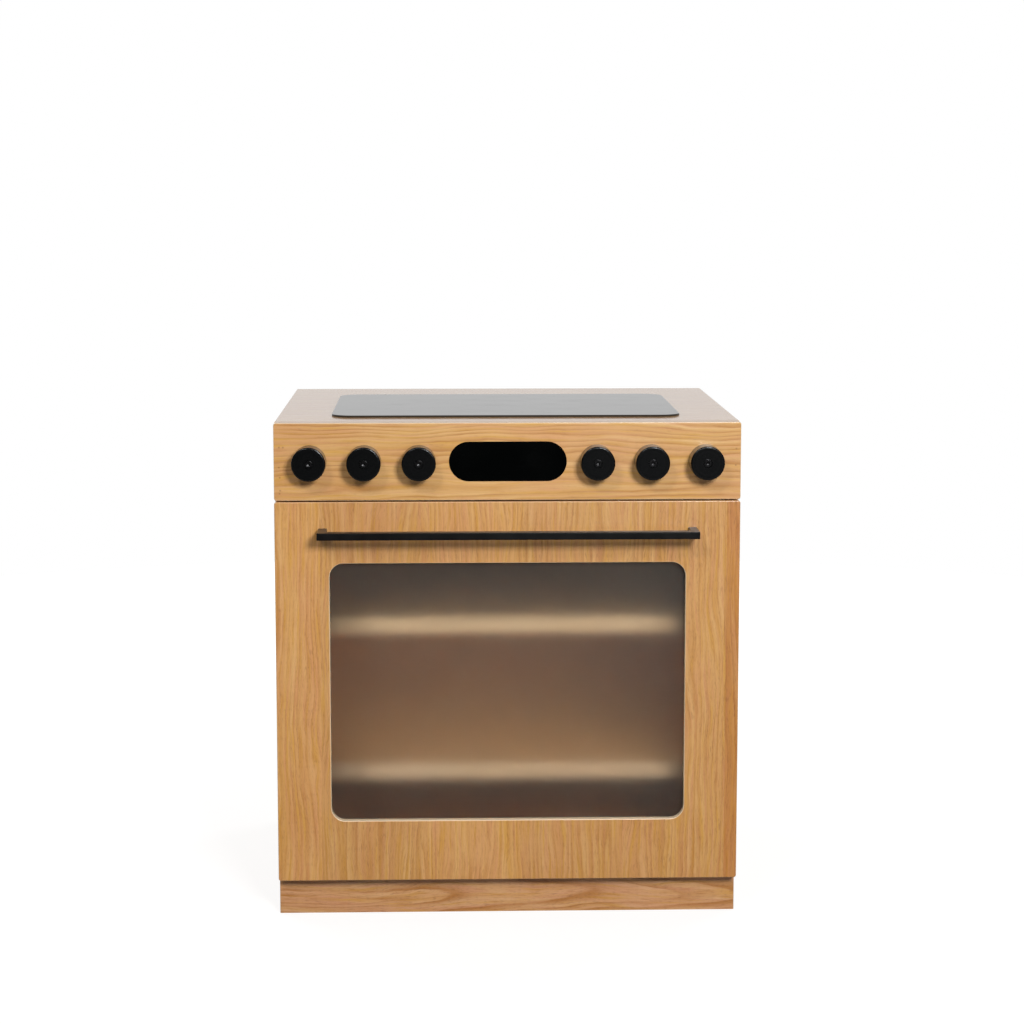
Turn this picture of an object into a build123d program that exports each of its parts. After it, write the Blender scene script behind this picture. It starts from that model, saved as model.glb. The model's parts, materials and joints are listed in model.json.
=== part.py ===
from build123d import *
import math
import os

# Toy oven: a veneered cabinet with a drop-down door, six turned knobs and a smoked window.
# All sizes are in millimetres. +X is to the viewer's right, +Y runs from the front to the
# back, +Z is up. The origin is on the floor, under the middle of the whole object's box.

# ---------------------------------------------------------------- driving dimensions

# Cabinet
cabinet_width = 480.0
cabinet_depth = 400.0  # from the front faces to the back of the worktop
board = 16.0  # thickness of the cabinet's boards
plinth_height = 40.0
control_height = 80.0  # height of the control panel
back_thickness = 3.0
worktop_ease = 1.5  # rounding of the worktop's upper side and back edges
ease = 1.0  # rounding of the plinth's and sides' outer corners

# Door
door_height = 400.0
door_thickness = 16.0
door_gap = 1.5  # slit between the door and the control panel
corner_radius = 2.5  # rounding of the door's and the control panel's four corners
front_radius = 1.0  # rounding of the edges round their faces
bumper_thickness = 2.0  # holds the closed door off the cabinet
bumper_diameter = 8.0
bumper_drop = 8.0  # from the door's top edge to a bumper's centre

# Window
window_width = 368.0
window_height = 272.0
window_radius = 14.5
window_edge_radius = 1.0
pane_set_in = 8.0  # from the door's front to the pane's
pane_thickness = 4.0
rebate_lip = 8.0  # how far the pane reaches past the opening on each side
pane_clearance = 0.4
clip_length = 22.0
clip_width = 12.0
clip_thickness = 1.5
clip_overlap = 4.5  # how far a clip reaches over the pane

# Handle
handle_length = 390.0
handle_height = 7.5
handle_depth = 12.0  # thickness of the bar, front to back
handle_reach = 35.0  # from the door's face to the bar's front
handle_post = 9.0  # width of each end post
handle_ease = 0.8
handle_drop = 31.0  # from the door's top edge to the bar's middle
handle_screw_diameter = 3.0
handle_screw_bite = 12.0  # how deep a screw goes into a post
handle_screw_head = 6.0
handle_screw_head_height = 2.0
handle_washer_diameter = 7.5
handle_washer_thickness = 0.6

# Knobs and their bolts
knob_diameter = 35.0
knob_depth = 23.0
knob_round = 1.5  # rounding of the front rim
knob_back_chamfer = 0.6
knob_end_margin = 36.7  # from the panel's end to the outer knob's axis
knob_pitch = 56.0
knobs_per_side = 3
knob_recess_diameter = 9.0
knob_recess_depth = 6.0
bolt_diameter = 5.0
bolt_head_diameter = 8.5
bolt_head_height = 5.0
bolt_socket_width = 4.0  # across the flats of the hexagon socket
bolt_socket_depth = 2.5
bolt_socket_dish = 0.7  # depth of the cone that the drill leaves under the socket
bolt_head_round = 0.5  # rounding of the head's rim
bolt_past_nut = 1.5
nut_width = 8.0  # across the flats
nut_height = 5.0
washer_diameter = 10.0
washer_thickness = 1.0
felt_diameter = 16.0  # friction washer between a knob and the panel
felt_thickness = 1.0
running_clearance = 0.05  # on the radius, where one part turns in another
axial_clearance = 0.1  # beside a turning part
bolt_hole_clearance = 0.15

# Display and hob
display_width = 121.0
display_height = 41.0
display_thickness = 3.0
display_clearance = 0.05
hob_width = 367.0
hob_depth = 247.0
hob_thickness = 2.0
hob_radius = 22.0
hob_edge = 0.4
hob_front_margin = 57.0  # from the front face to the hob's front edge

# Shelves
shelf_setback = 22.0  # behind the cabinet's front edge
shelf_side_clearance = 1.0
shelf_back_clearance = 2.0
lower_shelf_height = 83.0  # clear height under the lower shelf
middle_height = 141.0  # clear height between the shelves
shelf_edge_radius = 1.0
pin_diameter = 5.0
pin_bite = 8.0  # how deep a shelf pin goes into the side
pin_lug_length = 10.0
pin_lug_size = 8.0
pin_inset = 40.0  # from a shelf's front or back edge

# Door hinges
pivot_inset = 8.0  # from the door's back face forward to the hinge axis
pivot_rise = 5.0  # from the door's bottom edge up to the hinge axis
open_angle = 85.0  # how far the door drops
hinge_pin_diameter = 4.0
hinge_pin_length = 31.0
hinge_pin_setback = 2.0  # from the door's side edge to the pin's end
bush_wall = 1.0
arm_thickness = 3.0
arm_eye_radius = 4.5
arm_plate_length = 50.0  # along the cabinet's side
arm_plate_height = 20.0
arm_neck_width = 11.0
arm_neck_setback = 1.0  # between the neck and the bottom board's front edge
slot_side_clearance = 0.6  # beside the arm, in the door's slot
slot_front_clearance = 0.6  # in front of the arm's eye
slot_top_clearance = 1.5
arm_screw_length = 14.0
arm_screw_spacing = 20.0
arm_screw_margin = 10.0  # from the plate's rear end to the nearer screw
stop_width = 30.0
stop_height = 2.5  # low enough for the door to hide the blocks
stop_drop = 0.5  # below the plinth's top edge
stop_offset = 150.0
stop_clearance = 0.2

# Magnetic catch
catch_width = 50.0
catch_depth = 16.0
catch_height = 13.0
catch_air_gap = 0.3
magnet_width = 26.0
magnet_height = 7.0
magnet_depth = 10.0
strike_width = 40.0
strike_height = 11.0
strike_thickness = 1.2
catch_screw_spacing = 38.0
catch_screw_length = 24.0
strike_screw_spacing = 28.0
strike_screw_length = 10.0

# Screws and dowels
screw_diameter = 3.0
screw_head_diameter = 6.0
screw_fit = 0.03  # on the radius, round a screw or dowel
back_screw_length = 15.0
back_screw_count = 4  # up each side
clip_screw_length = 11.5
pan_head_diameter = 5.6
pan_head_height = 1.8
cross_width = 0.8
cross_length = 3.2
cross_depth = 0.9
dowel_diameter = 8.0
dowel_length = 30.0
dowel_face_depth = 10.0  # the part of a dowel that is in a board's face
dowel_end_clearance = 0.5
dowel_margin = 30.0  # from a board's end to its outer dowels
plinth_block = 28.0  # leg of a triangular corner block
plinth_block_height = 36.0

# ---------------------------------------------------------------- places

half_width = cabinet_width / 2
inner_half = half_width - board
fascia_thickness = door_thickness + bumper_thickness
front_y = (handle_reach - cabinet_depth) / 2
back_y = front_y + cabinet_depth
carcass_y = front_y + fascia_thickness
board_back_y = back_y - back_thickness
door_back_y = front_y + door_thickness
pane_front_y = front_y + pane_set_in
pane_back_y = pane_front_y + pane_thickness

door_bottom = plinth_height
door_top = door_bottom + door_height
control_bottom = door_top + door_gap
top_z = control_bottom + control_height
worktop_bottom = top_z - board
bottom_top = plinth_height + board  # upper face of the bottom board
ceiling_top = control_bottom  # upper face of the oven space's ceiling board
ceiling_bottom = ceiling_top - board
control_middle = control_bottom + control_height / 2
window_middle = (door_bottom + door_top) / 2

lower_shelf_bottom = bottom_top + lower_shelf_height
upper_shelf_bottom = lower_shelf_bottom + board + middle_height
shelf_front_y = carcass_y + shelf_setback
shelf_back_y = board_back_y - shelf_back_clearance

handle_middle = door_top - handle_drop
handle_post_x = (handle_length - handle_post) / 2
pivot_y = door_back_y - pivot_inset
pivot_z = door_bottom + pivot_rise
arm_x = inner_half - arm_thickness  # inner face of the right-hand hinge arm

outer_knob_x = half_width - knob_end_margin
knob_offsets = [outer_knob_x - index * knob_pitch for index in reversed(range(knobs_per_side))]
knob_places = [-x for x in reversed(knob_offsets)] + knob_offsets
knob_back_y = front_y - felt_thickness - axial_clearance
knob_front_y = knob_back_y - knob_depth
bolt_head_y = knob_front_y + knob_recess_depth - axial_clearance  # under the bolt's head
nut_y = front_y + fascia_thickness + washer_thickness

# Directions that a screw, dowel or pin can point
RIGHT, LEFT = (1, 0, 0), (-1, 0, 0)
BACK, FRONT = (0, 1, 0), (0, -1, 0)
UP = (0, 0, 1)
BOTH_SIDES = ((-1, RIGHT, LEFT), (1, LEFT, RIGHT))  # side, direction inward, direction outward


# ---------------------------------------------------------------- shapes


def block(x, y, z):
    """A box from the lowest and highest value along each axis."""
    size = [high - low for low, high in (x, y, z)]
    middle = [(high + low) / 2 for low, high in (x, y, z)]
    return Pos(*middle) * Box(*size)


def rod(radius, start, direction, length):
    """A round bar from start along direction."""
    at_end = (Align.CENTER, Align.CENTER, Align.MIN)
    return Plane(origin=start, z_dir=direction) * Cylinder(radius, length, align=at_end)


def ring(outer, inner, start, direction, length):
    """A round tube or washer, by its two radii."""
    return rod(outer, start, direction, length) - rod(inner, start, direction, length)


def slab(outline, y, depth):
    """An outline drawn in X and Z, made solid from y backwards."""
    plane = Plane(origin=(0, y, 0), x_dir=RIGHT, z_dir=FRONT)
    return extrude(plane * outline, amount=-depth)


def hexagon(across_flats, start, direction, length):
    """A six-sided bar from start along direction."""
    outline = RegularPolygon(across_flats / 2, 6, major_radius=False)
    return extrude(Plane(origin=start, z_dir=direction) * outline, amount=length)


def cone(wide, narrow, start, direction, length):
    """A cone that narrows from start along direction, by its two radii."""
    at_end = (Align.CENTER, Align.CENTER, Align.MIN)
    return Plane(origin=start, z_dir=direction) * Cone(wide, narrow, length, align=at_end)


def moved(point, direction, distance):
    return tuple(p + d * distance for p, d in zip(point, direction))


def cross_recess(seat, direction):
    """The driver's cross, cut into a head whose top is at seat."""
    outline = Rectangle(cross_length, cross_width) + Rectangle(cross_width, cross_length)
    return extrude(Plane(origin=seat, z_dir=direction) * outline, amount=cross_depth)


def flush_screw(seat, direction, length):
    """A countersunk screw whose head is level with the surface at seat."""
    head, shank = screw_head_diameter / 2, screw_diameter / 2
    screw = rod(shank, seat, direction, length) + cone(head, shank, seat, direction, head - shank)
    return screw - cross_recess(seat, direction)


def flush_hole(seat, direction, length):
    """The hole and countersink for a flush screw."""
    head, shank = screw_head_diameter / 2 + screw_fit, screw_diameter / 2 + screw_fit
    hole = rod(shank, seat, direction, length + dowel_end_clearance)
    return hole + cone(head, shank, seat, direction, head - shank)


def pan_screw(seat, direction, length, shank_diameter, head_diameter, head_height):
    """A screw whose round head stands on the surface at seat."""
    top = moved(seat, direction, -head_height)
    head = rod(head_diameter / 2, top, direction, head_height)
    head = fillet(head.edges().sort_by(Axis(seat, direction))[0], head_height / 2)
    screw = head + rod(shank_diameter / 2, seat, direction, length)
    return screw - cross_recess(top, direction)


def dowel(joint):
    """A dowel across a joint: (point on the joint face, direction into the board's face)."""
    point, into_face = joint
    start = moved(point, into_face, dowel_face_depth - dowel_length)
    return rod(dowel_diameter / 2, start, into_face, dowel_length)


def dowel_hole(joint):
    point, into_face = joint
    start = moved(point, into_face, dowel_face_depth - dowel_length - dowel_end_clearance)
    length = dowel_length + 2 * dowel_end_clearance
    return rod(dowel_diameter / 2 + screw_fit, start, into_face, length)


def spread(low, high, count):
    """Evenly spaced places from low to high."""
    return [low + (high - low) * index / (count - 1) for index in range(count)]


def drilled(solid, holes):
    """The solid less those holes that reach it."""
    box = solid.bounding_box()
    near = [hole for hole in holes if box.overlaps(hole.bounding_box())]
    return solid - near if near else solid


# ---------------------------------------------------------------- joints of the cabinet


def cabinet_joints():
    """Where each dowel of the cabinet goes."""
    edge_x = half_width - board / 2
    depths = spread(carcass_y + dowel_margin, board_back_y - dowel_margin, 3)
    across = spread(-inner_half + 2 * dowel_margin, inner_half - 2 * dowel_margin, 3)
    plinth_ys = (carcass_y + board / 2, board_back_y - board / 2)
    joints = []
    for side, inward, outward in BOTH_SIDES:
        for y in depths:
            for z in (plinth_height + board / 2, ceiling_bottom + board / 2):
                joints.append(((side * inner_half, y, z), outward))
            joints.append(((side * edge_x, y, worktop_bottom), UP))
        for z in spread(control_bottom + board / 2, worktop_bottom - board / 2, 2):
            joints.append(((side * edge_x, carcass_y, z), FRONT))
        for y in depths[:2]:
            joints.append(((side * edge_x, y + dowel_margin, plinth_height), UP))
        joints.append(((side * edge_x, carcass_y + board, plinth_height / 2), FRONT))
        joints.append(((side * edge_x, board_back_y - board, plinth_height / 2), BACK))
    for x in across:
        joints.append(((x, carcass_y, top_z - board / 2), FRONT))
        for y in plinth_ys:
            joints.append(((x, y, plinth_height), UP))
    return joints


def back_screw_places():
    """Where the back panel is screwed to the boards' rear edges."""
    edge_x = half_width - board / 2
    heights = spread(bottom_top + dowel_margin, worktop_bottom - dowel_margin, back_screw_count)
    places = [(side * edge_x, back_y, z) for side in (-1, 1) for z in heights]
    for z in (plinth_height + board / 2, ceiling_bottom + board / 2):
        places += [(side * inner_half / 2, back_y, z) for side in (-1, 1)]
    return places


def arm_screw_places(side):
    """Where one hinge arm is screwed to its side board."""
    z = bottom_top + arm_plate_height / 2
    rear_y = carcass_y + arm_plate_length - arm_screw_margin
    return [(side * arm_x, y, z) for y in (rear_y - arm_screw_spacing, rear_y)]


def catch_screw_places():
    y = carcass_y + catch_depth / 2
    return [(side * catch_screw_spacing / 2, y, ceiling_bottom - catch_height) for side in (-1, 1)]


joints = cabinet_joints()
dowel_holes = [dowel_hole(joint) for joint in joints]
back_holes = [flush_hole(place, FRONT, back_screw_length) for place in back_screw_places()]
arm_holes = [
    flush_hole(place, outward, arm_screw_length)
    for side, inward, outward in BOTH_SIDES
    for place in arm_screw_places(side)
]
catch_holes = [flush_hole(place, UP, catch_screw_length) for place in catch_screw_places()]


# ---------------------------------------------------------------- cabinet


def make_worktop():
    top = block((-half_width, half_width), (carcass_y, back_y), (worktop_bottom, top_z))
    upper = top.edges().filter_by_position(Axis.Z, top_z, top_z)
    outer = [edge for edge in upper if edge.center().Y > carcass_y + worktop_ease]
    corners = top.edges().filter_by(Axis.Z).sort_by(Axis.Y)[-2:]
    return drilled(fillet(outer + list(corners), worktop_ease), dowel_holes)


def make_side(side):
    x = sorted((side * inner_half, side * half_width))
    solid = block(x, (carcass_y, board_back_y), (plinth_height, worktop_bottom))
    upright = solid.edges().filter_by(Axis.Z)
    outer = [edge for edge in upright if abs(edge.center().X) > half_width - ease]
    solid = fillet(outer, ease)
    radius, depth = pin_diameter / 2 + screw_fit, pin_bite + dowel_end_clearance
    pegs = [rod(radius, point, outward, depth) for point, outward in pegs_of(side)]
    return drilled(solid, dowel_holes + back_holes + arm_holes + pegs)


def make_cross_board(z):
    """A level board between the sides."""
    solid = block((-inner_half, inner_half), (carcass_y, board_back_y), (z, z + board))
    return drilled(solid, dowel_holes + back_holes + catch_holes)


def make_back():
    solid = block((-half_width, half_width), (board_back_y, back_y), (plinth_height, worktop_bottom))
    return drilled(solid, back_holes)


def make_plinth_front_or_rear(y, outward):
    """One long plinth board; outward is -1 for the front one and 1 for the rear one."""
    solid = block((-half_width, half_width), (y, y + board), (0, plinth_height))
    face_y = y if outward < 0 else y + board
    ends = [e for e in solid.edges().filter_by(Axis.Z) if abs(e.center().Y - face_y) < ease]
    return drilled(fillet(ends, ease), dowel_holes)


def make_plinth_side(side):
    x = sorted((side * inner_half, side * half_width))
    solid = block(x, (carcass_y + board, board_back_y - board), (0, plinth_height))
    return drilled(solid, dowel_holes)


def make_plinth_blocks():
    """Triangular glue blocks in the plinth's four inner corners."""
    blocks = []
    for side in (-1, 1):
        for y, inward in ((carcass_y + board, 1), (board_back_y - board, -1)):
            x = side * inner_half
            corners = [(x, y), (x - side * plinth_block, y), (x, y + inward * plinth_block)]
            outline = make_face(Polyline(*corners, close=True))
            low = (plinth_height - plinth_block_height) / 2
            blocks.append(extrude(Pos(0, 0, low) * outline, amount=plinth_block_height, dir=UP))
    return blocks


def make_control_panel():
    """The board that carries the knobs and the display, level with the worktop."""
    solid = block((-half_width, half_width), (front_y, carcass_y), (control_bottom, top_z))
    solid = fillet(solid.edges().filter_by(Axis.Y), corner_radius)
    solid = fillet(solid.faces().sort_by(Axis.Y)[0].edges(), front_radius)
    outline = SlotOverall(display_width + 2 * display_clearance, display_height + 2 * display_clearance)
    solid -= slab(Pos(0, control_middle) * outline, front_y, display_thickness)
    hole = bolt_diameter / 2 + bolt_hole_clearance
    solid -= [rod(hole, (x, front_y, control_middle), BACK, fascia_thickness) for x in knob_places]
    return drilled(solid, dowel_holes)


def make_display():
    outline = SlotOverall(display_width, display_height)
    return slab(Pos(0, control_middle) * outline, front_y, display_thickness)


def make_hob():
    y = front_y + hob_front_margin + hob_depth / 2
    outline = Pos(0, y, top_z) * RectangleRounded(hob_width, hob_depth, hob_radius)
    sheet = extrude(outline, amount=hob_thickness, dir=UP)
    return chamfer(sheet.edges().group_by(Axis.Z)[-1], hob_edge)


# ---------------------------------------------------------------- shelves


def make_shelf(z):
    x = inner_half - shelf_side_clearance
    solid = block((-x, x), (shelf_front_y, shelf_back_y), (z, z + board))
    front = solid.edges().filter_by(Axis.X).sort_by(Axis.Y)[:2]
    return fillet(front, shelf_edge_radius)


def pegs_of(side):
    """Each shelf pin of one side: the point on the side board's face, and the way it goes in."""
    outward = RIGHT if side > 0 else LEFT
    ys = (shelf_front_y + pin_inset, shelf_back_y - pin_inset)
    bottoms = (lower_shelf_bottom, upper_shelf_bottom)
    return [((side * inner_half, y, z - pin_lug_size / 2), outward) for z in bottoms for y in ys]


def make_shelf_pin(point, outward):
    """A peg in the side board with a square lug under the shelf."""
    x, y, z = point
    lug = block(
        sorted((x, x - outward[0] * pin_lug_length)),
        (y - pin_lug_size / 2, y + pin_lug_size / 2),
        (z - pin_lug_size / 2, z + pin_lug_size / 2),
    )
    slope = chamfer(lug.edges().filter_by(Axis.Y).sort_by(Axis.Z)[:2], pin_lug_size / 3)
    return slope + rod(pin_diameter / 2, point, outward, pin_bite)


def make_shelf_pins():
    return [make_shelf_pin(*peg) for side in (-1, 1) for peg in pegs_of(side)]


# ---------------------------------------------------------------- hinges and catch


def make_hinge_arm(side):
    """A steel plate on the side board, with a neck that reaches into the door's slot."""
    neck_front = -arm_neck_width + (carcass_y - pivot_y) - arm_neck_setback
    neck_back = carcass_y - pivot_y - arm_neck_setback
    plate_bottom = bottom_top - pivot_z
    plate_top = plate_bottom + arm_plate_height
    plate_end = carcass_y - pivot_y + arm_plate_length
    corners = [
        (neck_front, 0),
        (neck_front, plate_top - arm_neck_width / 2),
        (neck_front + arm_neck_width / 2, plate_top),
        (plate_end, plate_top),
        (plate_end, plate_bottom),
        (neck_back, plate_bottom),
        (neck_back, arm_eye_radius),
        (arm_eye_radius / 2, 0),
    ]
    outline = make_face(Polyline(*corners, close=True)) + Circle(arm_eye_radius)
    plane = Plane(origin=(side * arm_x, pivot_y, pivot_z), x_dir=BACK, z_dir=RIGHT)
    plate = extrude(plane * outline, amount=side * arm_thickness)
    bore = hinge_pin_diameter / 2 + running_clearance + bush_wall
    plate -= rod(bore, (side * arm_x, pivot_y, pivot_z), RIGHT if side > 0 else LEFT, arm_thickness)
    return drilled(plate, arm_holes)


def make_hinge_bush(side):
    """The nylon bush that turns on the pin."""
    bore = hinge_pin_diameter / 2 + running_clearance
    direction = RIGHT if side > 0 else LEFT
    return ring(bore + bush_wall, bore, (side * arm_x, pivot_y, pivot_z), direction, arm_thickness)


def pin_start(side):
    return (side * (half_width - hinge_pin_setback), pivot_y, pivot_z)


def make_hinge_pin(side):
    inward = LEFT if side > 0 else RIGHT
    pin = rod(hinge_pin_diameter / 2, pin_start(side), inward, hinge_pin_length)
    return chamfer(pin.edges(), hinge_pin_diameter / 10)


def make_door_stops():
    """Rubber blocks under the door, which its bottom edge meets when it is fully down."""
    top = plinth_height - stop_drop
    angle = math.radians(open_angle)
    below = top - pivot_z
    edge = (below + pivot_rise * math.cos(angle)) / math.tan(angle) + pivot_rise * math.sin(angle)
    y = pivot_y + edge + stop_clearance
    return [
        block((x - stop_width / 2, x + stop_width / 2), (y, carcass_y), (top - stop_height, top))
        for x in (-stop_offset, stop_offset)
    ]


catch_front_y = door_back_y + strike_thickness + catch_air_gap


def magnet_space():
    z = ceiling_bottom - catch_height / 2
    return block(
        (-magnet_width / 2, magnet_width / 2),
        (catch_front_y, catch_front_y + magnet_depth),
        (z - magnet_height / 2, z + magnet_height / 2),
    )


def make_catch():
    """The plastic case of the magnetic catch, screwed under the ceiling board."""
    case = block(
        (-catch_width / 2, catch_width / 2),
        (catch_front_y, carcass_y + catch_depth),
        (ceiling_bottom - catch_height, ceiling_bottom),
    )
    case = fillet(case.edges().filter_by(Axis.Z), ease)
    return drilled(case - magnet_space(), catch_holes)


def strike_screw_places():
    """Where the strike plate's screws sit, on the plate's back face."""
    y = door_back_y + strike_thickness
    z = ceiling_bottom - catch_height / 2
    return [(side * strike_screw_spacing / 2, y, z) for side in (-1, 1)]


strike_holes = [flush_hole(place, FRONT, strike_screw_length) for place in strike_screw_places()]


def make_strike():
    z = ceiling_bottom - catch_height / 2
    plate = block(
        (-strike_width / 2, strike_width / 2),
        (door_back_y, door_back_y + strike_thickness),
        (z - strike_height / 2, z + strike_height / 2),
    )
    plate = fillet(plate.edges().filter_by(Axis.Y), ease)
    return drilled(plate, strike_holes)


# ---------------------------------------------------------------- door


def clip_places():
    """Each clip's centre on the door's back, and whether it lies across the window's side."""
    reach = clip_width / 2 - clip_overlap + rebate_lip
    side_x, level_z = window_width / 2 + reach, window_height / 2 + reach
    places = []
    for end in (-1, 1):
        for half in (-1, 1):
            places.append((half * window_width / 4, window_middle + end * level_z, False))
            places.append((end * side_x, window_middle + half * window_height / 4, True))
    return places


def clip_screw_points():
    """A clip is screwed through the half that lies on wood."""
    points = []
    for x, z, upright in clip_places():
        shift = clip_overlap / 2
        x += math.copysign(shift, x) if upright else 0
        z += 0 if upright else math.copysign(shift, z - window_middle)
        points.append((x, door_back_y, z))
    return points


def make_clip_foot(x, z, upright):
    """The block under a clip's inner half that reaches into the rebate and presses on the pane."""
    across, along = clip_overlap - pane_clearance, clip_length - clip_width / 2
    inward = (clip_width - across) / 2
    if upright:
        outline = Pos(x - math.copysign(inward, x), z) * Rectangle(across, along)
    else:
        outline = Pos(x, z - math.copysign(inward, z - window_middle)) * Rectangle(along, across)
    return slab(outline, pane_back_y, door_back_y - pane_back_y)


def make_clips():
    clips = []
    for (x, z, upright), point in zip(clip_places(), clip_screw_points()):
        width, height = (clip_width, clip_length) if upright else (clip_length, clip_width)
        outline = Pos(x, z) * RectangleRounded(width, height, clip_width / 4)
        clip = slab(outline, door_back_y, clip_thickness) + make_clip_foot(x, z, upright)
        clips.append(clip - rod(screw_diameter / 2 + screw_fit, point, BACK, clip_thickness))
    return clips


def make_clip_screws():
    sizes = (clip_screw_length, screw_diameter, pan_head_diameter, pan_head_height)
    return [pan_screw(moved(point, BACK, clip_thickness), FRONT, *sizes) for point in clip_screw_points()]


def window_outline(margin):
    size = (window_width + 2 * margin, window_height + 2 * margin, window_radius + margin)
    return Pos(0, window_middle) * RectangleRounded(*size)


def make_hinge_slot(side):
    """The slot in the door's lower corner that the hinge arm works in, open to the back and bottom."""
    x = sorted((side * (arm_x - slot_side_clearance), side * (inner_half + slot_side_clearance)))
    y = (pivot_y - arm_eye_radius - slot_front_clearance, door_back_y)
    return block(x, y, (door_bottom, bottom_top + arm_plate_height + slot_top_clearance))


def make_pin_hole(side):
    inward = LEFT if side > 0 else RIGHT
    start = (side * half_width, pivot_y, pivot_z)
    depth = hinge_pin_setback + hinge_pin_length + dowel_end_clearance
    return rod(hinge_pin_diameter / 2 + screw_fit, start, inward, depth)


def handle_screw_seats():
    """Where the handle's screws press on their washers, behind the door."""
    y = door_back_y + handle_washer_thickness
    return [(side * handle_post_x, y, handle_middle) for side in (-1, 1)]


def handle_screw_length():
    return handle_washer_thickness + door_thickness + handle_screw_bite


def handle_screw_holes():
    radius = handle_screw_diameter / 2 + screw_fit
    length = handle_screw_length() + dowel_end_clearance
    return [rod(radius, seat, FRONT, length) for seat in handle_screw_seats()]


def make_door():
    solid = block((-half_width, half_width), (front_y, door_back_y), (door_bottom, door_top))
    solid = fillet(solid.edges().filter_by(Axis.Y), corner_radius)
    faces = solid.faces().sort_by(Axis.Y)
    solid = fillet(faces[0].edges() + faces[-1].edges(), front_radius)
    opening = slab(window_outline(0), front_y, door_thickness)
    solid -= opening
    front_face = solid.faces().sort_by(Axis.Y)[0]
    solid = fillet(front_face.inner_wires()[0].edges(), window_edge_radius)
    solid -= slab(window_outline(rebate_lip), pane_front_y, door_thickness - pane_set_in)
    for side in (-1, 1):
        solid -= make_hinge_slot(side)
        solid -= make_pin_hole(side)
    radius, depth = screw_diameter / 2 + screw_fit, clip_screw_length - clip_thickness + dowel_end_clearance
    clip_holes = [rod(radius, point, FRONT, depth) for point in clip_screw_points()]
    return drilled(solid, clip_holes + strike_holes + handle_screw_holes())


def make_pane():
    outline = window_outline(rebate_lip - pane_clearance)
    return slab(outline, pane_front_y, pane_thickness)


def make_bumpers():
    x = half_width - board / 2
    z = door_top - bumper_drop
    radius = bumper_diameter / 2
    return [rod(radius, (side * x, door_back_y, z), BACK, bumper_thickness) for side in (-1, 1)]


def make_handle():
    """A square-cornered bow: a flat bar on two end posts."""
    half = handle_length / 2
    bar_back = handle_reach - handle_depth
    bow = block(
        (-half, half),
        (front_y - handle_reach, front_y),
        (handle_middle - handle_height / 2, handle_middle + handle_height / 2),
    )
    gap = block(
        (handle_post - half, half - handle_post),
        (front_y - bar_back, front_y),
        (handle_middle - handle_height / 2, handle_middle + handle_height / 2),
    )
    bow -= gap
    outer = [e for e in bow.edges() if e.center().Y < front_y - handle_ease]
    return drilled(fillet(outer, handle_ease), handle_screw_holes())


def make_handle_screws():
    sizes = (handle_screw_length(), handle_screw_diameter, handle_screw_head, handle_screw_head_height)
    return [pan_screw(seat, FRONT, *sizes) for seat in handle_screw_seats()]


def make_handle_washers():
    bore = handle_screw_diameter / 2 + bolt_hole_clearance
    return [
        ring(handle_washer_diameter / 2, bore, seat, FRONT, handle_washer_thickness)
        for seat in handle_screw_seats()
    ]


# ---------------------------------------------------------------- knobs


def make_knob(x):
    """A turned knob that spins on its bolt, with a recess for the bolt's head."""
    body = rod(knob_diameter / 2, (x, knob_front_y, control_middle), BACK, knob_depth)
    rims = body.edges().filter_by(GeomType.CIRCLE).sort_by(Axis.Y)
    body = fillet(rims[0], knob_round)
    rims = body.edges().filter_by(GeomType.CIRCLE).sort_by(Axis.Y)
    body = chamfer(rims[-1], knob_back_chamfer)
    body -= rod(knob_recess_diameter / 2, (x, knob_front_y, control_middle), BACK, knob_recess_depth)
    bore = bolt_diameter / 2 + running_clearance
    return body - rod(bore, (x, knob_front_y, control_middle), BACK, knob_depth)


def make_bolt(x):
    """A socket-head bolt through the knob and the panel."""
    length = nut_y + nut_height + bolt_past_nut - bolt_head_y
    top = (x, bolt_head_y - bolt_head_height, control_middle)
    head = rod(bolt_head_diameter / 2, top, BACK, bolt_head_height)
    head = fillet(head.edges().sort_by(Axis.Y)[0], bolt_head_round)
    head -= hexagon(bolt_socket_width, top, BACK, bolt_socket_depth)
    head -= cone(bolt_socket_width / 2, 0, moved(top, BACK, bolt_socket_depth), BACK, bolt_socket_dish)
    return head + rod(bolt_diameter / 2, (x, bolt_head_y, control_middle), BACK, length)


def make_felt(x):
    bore = bolt_diameter / 2 + bolt_hole_clearance
    return ring(felt_diameter / 2, bore, (x, front_y, control_middle), FRONT, felt_thickness)


def make_washer(x):
    bore = bolt_diameter / 2 + bolt_hole_clearance
    return ring(washer_diameter / 2, bore, (x, carcass_y, control_middle), BACK, washer_thickness)


def make_nut(x):
    start = (x, nut_y, control_middle)
    thread = rod(bolt_diameter / 2 + screw_fit, start, BACK, nut_height)
    return hexagon(nut_width, start, BACK, nut_height) - thread


# ---------------------------------------------------------------- the whole part


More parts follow.
